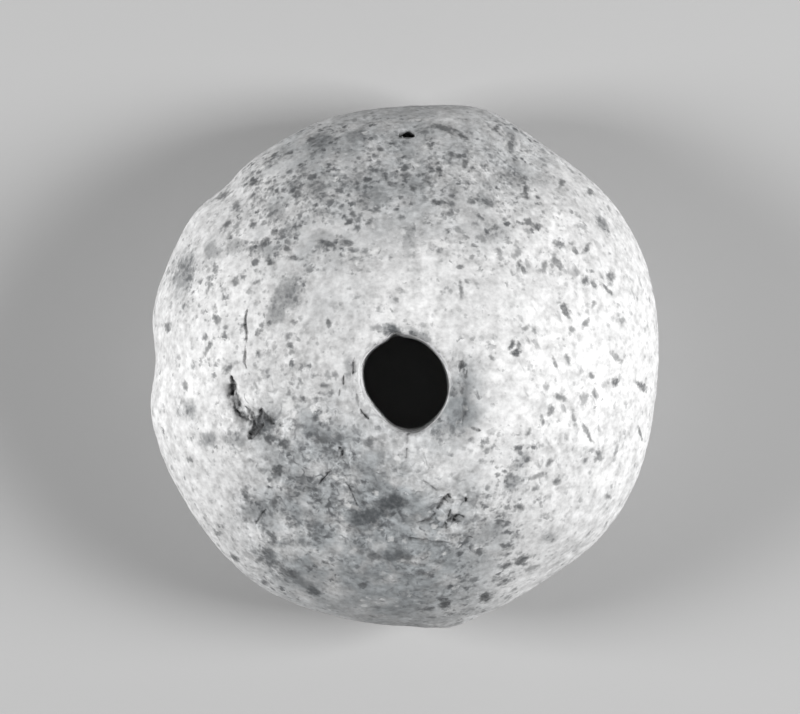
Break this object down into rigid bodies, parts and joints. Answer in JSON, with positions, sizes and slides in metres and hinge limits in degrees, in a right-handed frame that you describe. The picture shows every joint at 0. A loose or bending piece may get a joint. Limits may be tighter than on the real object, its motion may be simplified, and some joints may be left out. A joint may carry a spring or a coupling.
{
  "type": "stone spindle whorl",
  "caption": "Hand-ground domed stone whorl with a flat underside and a drilled hole, the weight that keeps a hand spindle turning.",
  "frame": {"origin": "middle of the underside that the whorl lies on, under the centre of its outline; the hole stands 1.4 mm towards -Y of it", "axes": "+Z up through the hole to the domed face; seen from above +X is to the right and +Y is up, as in the picture"},
  "size_m": [0.0441, 0.0454, 0.0235],
  "materials": {
    "stone": "matt, worn, speckled grey"
  },
  "bodies": {
    "root": {"whorl": "stone"}
  },
  "joints": []
}
